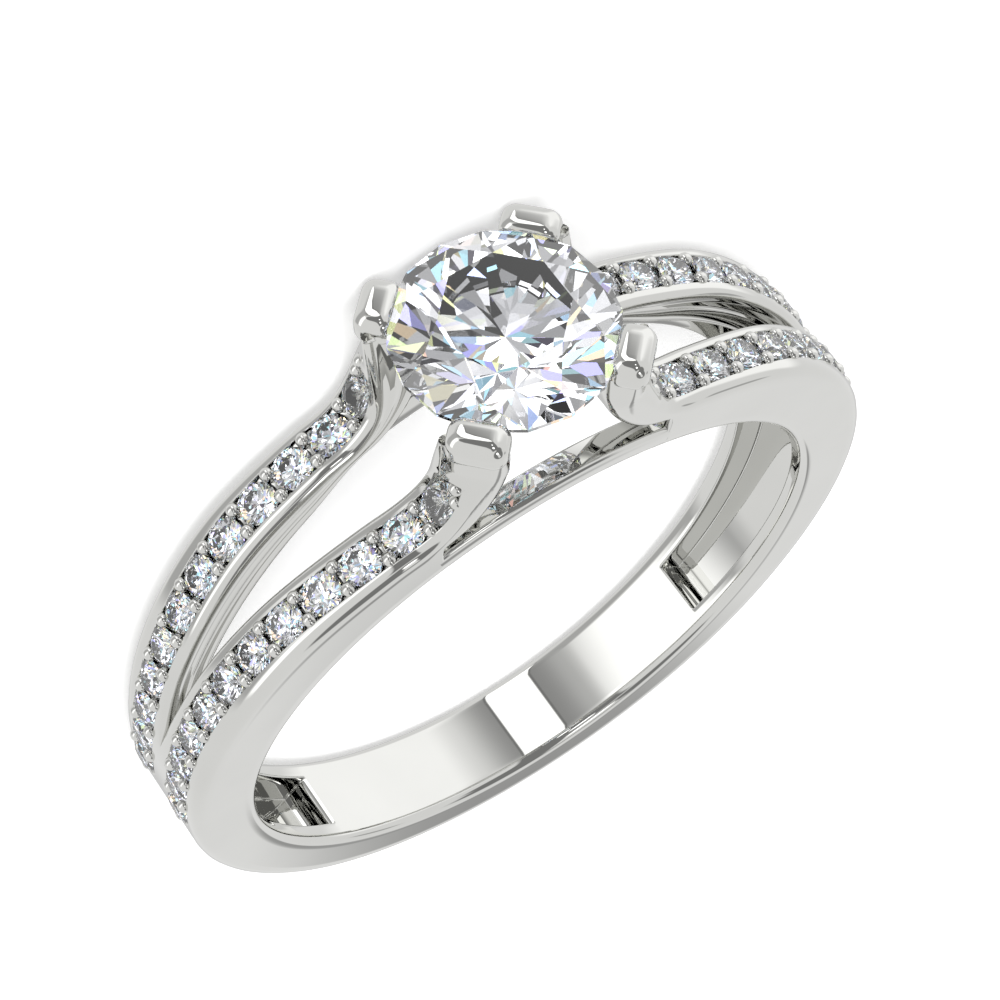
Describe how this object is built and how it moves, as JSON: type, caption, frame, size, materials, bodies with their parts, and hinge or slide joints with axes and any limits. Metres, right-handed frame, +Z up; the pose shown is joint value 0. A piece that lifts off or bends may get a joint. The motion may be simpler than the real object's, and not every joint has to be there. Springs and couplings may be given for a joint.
{
  "type": "split shank ring",
  "caption": "Split shank ring: a polished band forks into stone-set branches that rise as prongs round a brilliant.",
  "frame": {"origin": "middle of the finger bore, on its axis", "axes": "the ring lies on its side: +Z up, close to the bore's axis; the stone is towards -Y and the band's foot towards +Y; X runs across the ring"},
  "size_m": [0.0208, 0.0238, 0.0057],
  "materials": {
    "white_gold": "mirror polished white gold",
    "centre_diamond": "clear faceted diamond",
    "pave_diamond": "clear faceted diamond"
  },
  "bodies": {
    "root": {"shank": "white_gold", "centre_stone": "centre_diamond", "pave_front_left": "pave_diamond", "pave_back_left": "pave_diamond", "pave_front_right": "pave_diamond", "pave_back_right": "pave_diamond"}
  },
  "joints": []
}
